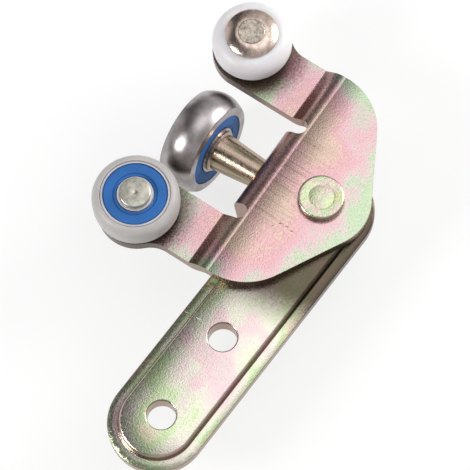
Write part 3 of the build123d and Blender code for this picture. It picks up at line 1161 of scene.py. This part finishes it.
@dataclass
class GuideRoller:
    """The sealed bearing on its pin, with a light grey tyre."""

    spacer_height: float = 3.5
    width: float = 7.0
    outer_r: float = 11.0
    seat_r: float = 10.15
    lip_r: float = 5.75
    bore_r: float = 4.0
    pin_r: float = 4.92
    pin_height: float = 1.6
    tail_r: float = 5.6
    tail_height: float = 1.2
    tyre_r: float = 13.65
    tyre_width: float = 10.0
    tread_r: float = 3.2
    tyre_below: float = 2.75
    tyre_foot_r: float = 10.3

    @property
    def lathe(self) -> Lathe:
        """The roller's axis, with its foot on the mounting face."""
        return Lathe(carrier_place(-ROLLER_SPREAD, ROLLER_REACH, 0))

    def build(self, finishes: Finishes) -> None:
        """Builds and fits the pieces that show.

        Args:
            finishes: The object's finishes.
        """
        low = EAR_TOP + self.spacer_height
        top = low + self.width
        attach(self.tyre(low), Body.GUIDE_ROLLER, Slot.TYRE, finishes.tyre, "guide_tyre")
        attach(self.seal(top), Body.GUIDE_ROLLER, Slot.SEAL, finishes.seal, "guide_seal_far")
        attach(self.pin(top), Body.CARRIER, Slot.PIN, finishes.pin, "guide_pin")

    def tyre(self, low: float) -> Piece:
        """The tyre, moulded round the outer ring with a lip below it.

        Args:
            low: Height of the bearing's lower face, in mm.

        Returns:
            The finished piece.
        """
        foot = low - self.tyre_below
        top = foot + self.tyre_width
        core = self.tyre_r - self.tread_r
        lean = math.acos((self.outer_r - core) / self.tread_r)
        rise = self.tread_r * math.sin(lean)
        outline = arc(core, foot + self.tread_r, self.tread_r, -90, 0, 10)
        outline += arc(core, top - self.tread_r, self.tread_r, 0, math.degrees(lean) - 4, 10)
        outline += [(self.outer_r, top - self.tread_r + rise - 0.1), (self.outer_r, low)]
        outline += [(self.tyre_foot_r, low), (self.tyre_foot_r, foot)]
        return self.lathe.turn("guide_tyre_moulded", outline, hollow=True)

    def seal(self, top: float) -> Piece:
        """The upper seal: a dished disc with a bead beside its lip.

        Args:
            top: Height of the bearing's upper face, in mm.

        Returns:
            The finished piece.
        """
        face = top - 0.15
        outline = [
            (self.seat_r, face - 0.8),
            (self.seat_r, face - 0.45),
            (self.seat_r - 0.28, face - 0.45),
            (self.seat_r - 0.36, face - 0.06),
            (self.seat_r - 0.6, face),
            (self.seat_r - 1.6, face - 0.04),
            (self.lip_r + 1.25, face - 0.06),
            (self.lip_r + 1.15, face - 0.32),
            (self.lip_r + 0.9, face - 0.32),
            (self.lip_r + 0.8, face - 0.08),
            (self.lip_r + 0.25, face - 0.1),
            (self.lip_r + 0.1, face - 0.4),
            (self.lip_r, face - 0.8),
        ]
        return self.lathe.turn("guide_seal_moulded", outline, hollow=True)

    def pin(self, top: float) -> Piece:
        """The pin, with a centre mark in its head and a spread tail.

        Args:
            top: Height of the bearing's upper face, in mm.

        Returns:
            The finished piece.
        """
        ear_under = EAR_TOP - SHEET
        head = top + self.pin_height
        bevel = self.tail_height / 2
        outline = [
            (0.3, ear_under - self.tail_height),
            (self.tail_r - bevel, ear_under - self.tail_height),
            (self.tail_r, ear_under - bevel),
            (self.tail_r, ear_under),
            (self.bore_r, ear_under),
            (self.bore_r, top),
            (self.pin_r, top),
        ]
        outline += arc(self.pin_r - 0.4, head - 0.4, 0.4, 0, 90, 5)
        outline += [(1.1, head), (0.85, head - 0.01), (0.55, head - 0.06), (0.15, head - 0.16)]
        return self.lathe.turn("guide_pin_turned", outline, hollow=False)


@dataclass
class NylonRoller:
    """The white roller on its shouldered pin, under a domed cap."""

    washer_height: float = 0.3
    gap: float = 0.1
    roller_r: float = 12.6
    width: float = 10.6
    tread_r: float = 4.4
    journal_r: float = 5.4
    bore_gap: float = 0.05
    pin_r: float = 4.15
    cap_r: float = 8.36
    rim_height: float = 0.9
    cap_height: float = 2.1
    cap_top_r: float = 5.1

    @property
    def lathe(self) -> Lathe:
        """The roller's axis, with its foot on the mounting face."""
        return Lathe(carrier_place(ROLLER_SPREAD, ROLLER_REACH, 0))

    def build(self, finishes: Finishes) -> None:
        """Builds and fits the pieces that show.

        Args:
            finishes: The object's finishes.
        """
        low = EAR_TOP + self.washer_height + self.gap
        top = low + self.width
        attach(self.roller(low, top), Body.WHITE_ROLLER, Slot.NYLON, finishes.nylon, "nylon_roller")
        attach(self.cap(top + self.gap), Body.CARRIER, Slot.CAP, finishes.cap, "nylon_cap")

    def roller(self, low: float, top: float) -> Piece:
        """The moulded roller.

        Args:
            low: Height of its lower face, in mm.
            top: Height of its upper face, in mm.

        Returns:
            The finished piece.
        """
        core = self.roller_r - self.tread_r
        bore = self.journal_r + self.bore_gap
        outline = arc(core, low + self.tread_r, self.tread_r, -90, 0, 12)
        outline += arc(core, top - self.tread_r, self.tread_r, 0, 90, 12)
        outline += [(bore + 0.2, top), (bore, top - 0.2), (bore, low + 0.2), (bore + 0.2, low)]
        return self.lathe.turn("nylon_roller_moulded", outline, hollow=True)

    def cap(self, foot: float) -> Piece:
        """The cap: a rounded rim under a low dome with a flat round top.

        Args:
            foot: Height of its lower face, in mm.

        Returns:
            The finished piece.
        """
        rim = foot + self.rim_height
        top = foot + self.cap_height
        outline = [
            (self.pin_r, foot),
            (self.cap_r - 0.3, foot),
            (self.cap_r, foot + 0.3),
            (self.cap_r, rim - 0.3),
            (self.cap_r - 0.25, rim + 0.02),
            (7.2, rim + 0.5),
            (6.1, rim + 0.93),
            (self.cap_top_r + 0.25, top - 0.06),
            (self.cap_top_r - 0.15, top),
            (self.pin_r + 0.12, top),
            (self.pin_r, top - 0.15),
        ]
        return self.lathe.turn("nylon_cap_pressed", outline, hollow=True)


@dataclass
class LoadRoller:
    """The steel roller on its tapered stub axle. Heights run along the axle from the roller's near face."""

    face_reach: float = 39.25
    stub: float = 16.72
    width: float = 11.8
    edge_r: float = 15.2
    crown: float = 1.7
    seat_r: float = 12.3
    shoulder_r: float = 12.0
    lip_r: float = 7.9
    bore_r: float = 6.0
    root_r: float = 4.8
    cone_r: float = 6.2
    collar: float = 1.2
    collar_r: float = 7.0
    tab_r: float = 3.8
    tail_r: float = 4.9
    tail_height: float = 1.3
    rim_r: float = 7.2
    rim_height: float = 1.1

    @property
    def lathe(self) -> Lathe:
        """The roller's axis.

        Returns:
            The axis, with its foot at the middle of the near face.
        """
        lean = Vector((0, math.cos(AXLE_LEAN), -math.sin(AXLE_LEAN)))
        foot = carrier_place(0, self.face_reach, PLATE_TOP - AXLE_DROP)
        return Lathe(foot, Matrix.Rotation(CARRIER_SWING, 3, "Z") @ lean, facets=160)

    def build(self, finishes: Finishes) -> None:
        """Builds and fits the pieces that show.

        Args:
            finishes: The object's finishes.
        """
        attach(self.ring(), Body.LOAD_ROLLER, Slot.BEARING, finishes.ring, "load_outer_ring")
        attach(self.seal(), Body.LOAD_ROLLER, Slot.SEAL, finishes.seal, "load_seal_near")
        attach(self.axle(), Body.CARRIER, Slot.ZINC, finishes.axle, "load_axle")

    def ring(self) -> Piece:
        """The outer ring, crowned for the rail.

        Returns:
            The finished piece.
        """
        middle, half = self.width / 2, self.width / 2 - 0.45
        sweep = (half**2 + self.crown**2) / (2 * self.crown)
        swing = math.degrees(math.asin(half / sweep))
        outline = arc(self.edge_r + self.crown - sweep, middle, sweep, -swing, swing, 20)
        outline += [
            (self.edge_r - 0.12, self.width - 0.14),
            (self.edge_r - 0.45, self.width),
            (self.seat_r, self.width),
            (self.seat_r, self.width - 0.95),
            (self.shoulder_r, self.width - 0.95),
            (self.shoulder_r, middle + 2.0),
            (self.shoulder_r + 0.9, middle + 1.0),
            (self.shoulder_r + 0.9, middle - 1.0),
            (self.shoulder_r, middle - 2.0),
            (self.shoulder_r, 0.95),
            (self.seat_r, 0.95),
            (self.seat_r, 0),
            (self.edge_r - 0.45, 0),
            (self.edge_r - 0.12, 0.14),
        ]
        return self.lathe.turn("load_ring_ground", outline, hollow=True)

    def seal(self) -> Piece:
        """The near seal.

        Returns:
            The finished piece.
        """
        face = 0.15
        outline = [
            (self.seat_r, face + 0.6),
            (self.lip_r, face + 0.6),
            (self.lip_r, face + 0.25),
            (self.lip_r + 0.15, face + 0.16),
            (self.lip_r + 0.8, face + 0.14),
            (self.lip_r + 0.95, face + 0.02),
            (self.seat_r - 1.4, face + 0.04),
            (self.seat_r - 0.5, face),
            (self.seat_r - 0.2, face + 0.05),
            (self.seat_r, face + 0.3),
        ]
        return self.lathe.turn("load_seal_moulded", outline, hollow=True)

    def axle(self) -> Piece:
        """The stub axle, tapered to the tab and collared against the bearing.

        Returns:
            The finished piece.
        """
        tab_outer = -self.stub
        tab_inner = tab_outer - SHEET
        tail_bevel, rim_bevel = self.tail_height / 2, self.rim_height / 2
        outline = [
            (0.5, tab_inner - self.tail_height),
            (self.tail_r - tail_bevel, tab_inner - self.tail_height),
            (self.tail_r, tab_inner - tail_bevel),
            (self.tail_r, tab_inner),
            (self.tab_r, tab_inner),
            (self.tab_r, tab_outer),
            (self.root_r, tab_outer),
            (self.cone_r, -self.collar - 0.25),
            (self.cone_r + 0.3, -self.collar),
            (self.collar_r - 0.2, -self.collar),
            (self.collar_r, 0.2 - self.collar),
            (self.collar_r, 0),
            (self.bore_r, 0),
            (self.bore_r, self.width),
            (self.rim_r, self.width),
            (self.rim_r, self.width + rim_bevel),
            (self.rim_r - rim_bevel, self.width + self.rim_height),
            (0.5, self.width + self.rim_height),
        ]
        return self.lathe.turn("load_axle_turned", outline, hollow=False)


@dataclass
class InnerPieces:
    """Solids whose shape is right and that take only a finish."""

    steel: tuple[str, ...] = ("load_inner_ring",)
    races: tuple[str, ...] = ("guide_inner_ring", "guide_outer_ring")
    balls: tuple[str, ...] = ("load_balls", "guide_balls")
    cages: tuple[str, ...] = ("load_cage", "guide_cage")
    seals: tuple[str, ...] = ("load_seal_far", "guide_seal_near")
    bright: tuple[str, ...] = ("nylon_pin",)
    satin: tuple[str, ...] = ("guide_spacer", "nylon_washer")

    def build(self, frame: dict, finishes: Finishes) -> None:
        """Dresses the solids.

        Args:
            finishes: The object's finishes.
        """
        finish_of = {
            self.steel: finishes.ring,
            self.races: finishes.race,
            self.balls: finishes.ball,
            self.cages: finishes.cage,
            self.seals: finishes.seal,
            self.bright: finishes.peened,
            self.satin: finishes.pin,
        }
        for nodes, finish in finish_of.items():
            for node in nodes:
                dress(frame["nodes"][node], finish)
                smooth(frame["nodes"][node])
                log.info("%s: solid kept, %s", node, finish.name)


@dataclass(frozen=True)
class SoftLamp:
    """A round soft lamp, given by where it stands seen from the object: degrees, mm and watts."""

    name: str
    turn: float
    height: float
    distance: float
    size: float
    power: float

    def build(self, target: Vector) -> None:
        """Adds the lamp. Its turn is from +x towards +y.

        Args:
            target: What it is turned to, in mm.
        """
        light = bpy.data.lights.new(self.name, "AREA")
        light.shape = "DISK"
        light.size = self.size / 1000
        light.energy = self.power
        lamp = bpy.data.objects.new(self.name, light)
        bpy.context.scene.collection.objects.link(lamp)
        turn, height = math.radians(self.turn), math.radians(self.height)
        level = Vector((math.cos(turn), math.sin(turn), 0)) * math.cos(height)
        towards = level + Vector((0, 0, math.sin(height)))
        lamp.location = (target + towards * self.distance) / 1000
        lamp.rotation_mode = "QUATERNION"
        lamp.rotation_quaternion = (-towards).to_track_quat("-Z", "Y")


@dataclass(frozen=True)
class Card:
    """A bright part of the tent: its middle, and the cosines at which its soft edge starts and ends."""

    towards: tuple[float, float, float]
    edge: float
    inside: float
    colour: str = "#D8D6D4"


@dataclass
class Studio:
    """Pale floor, soft light and a camera at the photograph's angle."""

    floor_gap: float = 0.2
    floor_size: float = 6.0
    paper_glow: float = 0.72
    photo_turn: float = 52.525
    view_turn: float = 4.07
    view_tilt: float = 20.32
    view_roll: float = -0.44
    distance: float = 818.2
    pixels_per_mm: float = 3.26
    photo_px: int = 470
    aim: Vector = field(default_factory=lambda: Vector((-26.64, -11.16, 0.0)))
    lit_point: Vector = field(default_factory=lambda: Vector((50.0, 20.0, 0.0)))
    cards: tuple[Card, ...] = (
        Card((0.8, -0.28, 0.53), 0.35, 0.85),
        Card((-0.16, 0.94, 0.3), 0.88, 0.96),
        Card((-0.58, -0.74, 0.34), 0.55, 0.9, "#C4C2C0"),
    )
    tent_top: tuple[float, float, float] = (0.2, -0.33, 0.92)
    tent: Stops = ((0.0, "#3A3A3A"), (0.65, "#404040"), (1.0, "#B4B4B4"))
    lamps: tuple[SoftLamp, ...] = (
        SoftLamp("overhead softbox", turn=-5, height=74, distance=620, size=480, power=0.56),
        SoftLamp("left lamp", turn=150, height=36, distance=650, size=260, power=2.5),
        SoftLamp("right lamp", turn=-25, height=27, distance=600, size=300, power=2.3),
    )

    def build(self) -> None:
        """Builds the whole studio."""
        self.floor()
        self.lights()
        self.camera()

    def floor(self) -> None:
        """A plain pale floor just under the object."""
        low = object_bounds()[0].z
        deselect()
        bpy.ops.mesh.primitive_plane_add(size=self.floor_size, location=(0, 0, low - self.floor_gap / 1000))
        floor = bpy.context.object
        floor.name = "studio_floor"
        bpy.ops.object.transform_apply(location=True, rotation=True, scale=True)
        material, tree, _ = new_tree("white studio paper")
        paper = add_node(tree, "BsdfPrincipled", {"Base Color": linear("#F7F7F7"), "Roughness": 0.9})
        white = add_node(tree, "Emission", {"Color": linear("#FFFFFF"), "Strength": 1.0})
        rays = add_node(tree, "LightPath")
        seen = rays.outputs["Is Camera Ray"]
        for kind in ("Is Glossy Ray", "Is Transmission Ray"):
            seen = add_node(tree, "Math", {"operation": "MAXIMUM"}, {0: seen, 1: rays.outputs[kind]})
        share = add_node(tree, "Math", {"operation": "MULTIPLY", 1: self.paper_glow}, {0: seen})
        mixed = add_node(tree, "MixShader", links={0: share, 1: paper, 2: white})
        add_node(tree, "OutputMaterial", links={"Surface": mixed})
        dress(floor, material)
        floor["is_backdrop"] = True

    def lights(self) -> None:
        """A dim tent that is bright overhead and on one side, and the lamps."""
        world = bpy.data.worlds.new("studio tent")
        bpy.context.scene.world = world
        world.use_nodes = True
        tree = world.node_tree
        tree.nodes.clear()
        direction = add_node(tree, "TexCoord").outputs["Generated"]
        facing = {"operation": "DOT_PRODUCT", 1: self.tent_top}
        height = add_node(tree, "VectorMath", facing, {0: direction}).outputs["Value"]
        tone = add_node(tree, "ValToRGB", links={0: height})
        set_stops(tone, self.tent)
        for card in self.cards:
            facing = {"operation": "DOT_PRODUCT", 1: card.towards}
            cosine = add_node(tree, "VectorMath", facing, {0: direction}).outputs["Value"]
            ends = {"From Min": card.edge, "From Max": card.inside}
            mask = add_node(tree, "MapRange", ends, {"Value": cosine})
            paint = {"data_type": "RGBA", 7: linear(card.colour)}
            tone = add_node(tree, "Mix", paint, {0: mask, 6: tone}).outputs[2]
        sky = add_node(tree, "Background", {"Strength": 1.0}, {"Color": tone})
        add_node(tree, "OutputWorld", links={"Surface": sky})
        for lamp in self.lamps:
            lamp.build(self.lit_point)

    def camera(self) -> None:
        """The camera, where the photograph was taken from."""
        turn, tilt = math.radians(self.view_turn), math.radians(self.view_tilt)
        back = Vector((math.sin(turn), -math.cos(turn), 0)) * math.sin(tilt) + Vector((0, 0, math.cos(tilt)))
        up = (Vector((0, 1, 0)) - back * back.y).normalized()
        right = up.cross(back)
        rolled = Matrix.Rotation(math.radians(self.view_roll), 3, back)
        view = Matrix((rolled @ right, rolled @ up, back)).transposed()
        to_model = Matrix.Rotation(math.radians(-self.photo_turn), 3, "Z")
        centre = PIVOT + Vector((0, 0, PLATE_TOP)) + to_model @ self.aim
        place = centre + to_model @ back * self.distance
        lens = bpy.data.cameras.new("camera")
        lens.lens = self.pixels_per_mm * self.distance * lens.sensor_width / self.photo_px
        lens.clip_start, lens.clip_end = 0.05, 20
        camera = bpy.data.objects.new("camera", lens)
        bpy.context.scene.collection.objects.link(camera)
        camera.matrix_world = Matrix.Translation(place / 1000) @ (to_model @ view).to_4x4()
        bpy.context.scene.camera = camera


def main() -> None:
    """Builds the looks around the model, then the studio."""
    logging.basicConfig(level=logging.INFO, format="%(name)s %(message)s")
    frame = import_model()
    bpy.context.scene.view_settings.view_transform = "Standard"
    finishes = Finishes()
    ArmAndRivet().build(frame, finishes)
    CarrierPlate().build(frame, finishes)
    GuideRoller().build(finishes)
    NylonRoller().build(finishes)
    LoadRoller().build(finishes)
    InnerPieces().build(frame, finishes)
    Studio().build()


if __name__ == "__main__":
    main()
